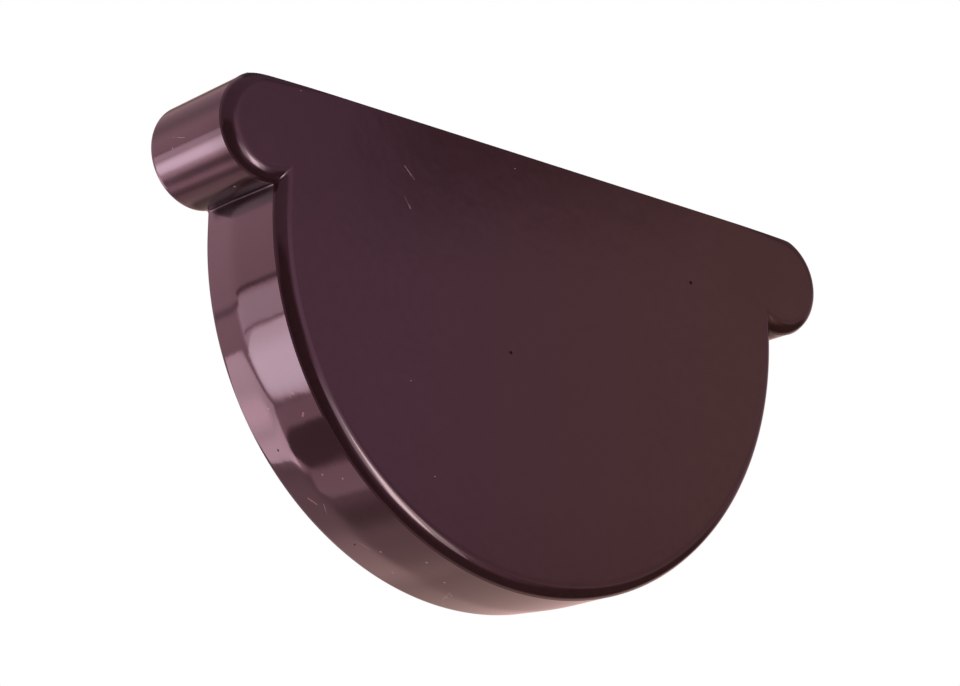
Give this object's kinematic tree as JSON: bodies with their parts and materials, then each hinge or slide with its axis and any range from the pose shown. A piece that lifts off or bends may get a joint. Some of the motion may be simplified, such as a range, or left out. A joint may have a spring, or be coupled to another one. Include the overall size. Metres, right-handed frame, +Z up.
{
  "type": "gutter end cap",
  "caption": "Glossy dark wine-brown moulded end cap for a half-round gutter, with a flat face, a skirt open behind and a round ear at each upper corner.",
  "frame": {"origin": "on the axis of the half-round gutter socket, where the end of the gutter stops against the inner side of the face", "axes": "+X across the gutter, to the right when the face is seen from outside; +Y along the gutter, from the closed face to the open rim; +Z up as fitted"},
  "size_m": [0.159, 0.0254, 0.0909],
  "materials": {
    "end_cap": "dark wine-brown moulded PVC, glossy, with a faint mottle, fine scratches and light specks"
  },
  "bodies": {
    "root": {"end_cap": "end_cap"}
  },
  "joints": []
}
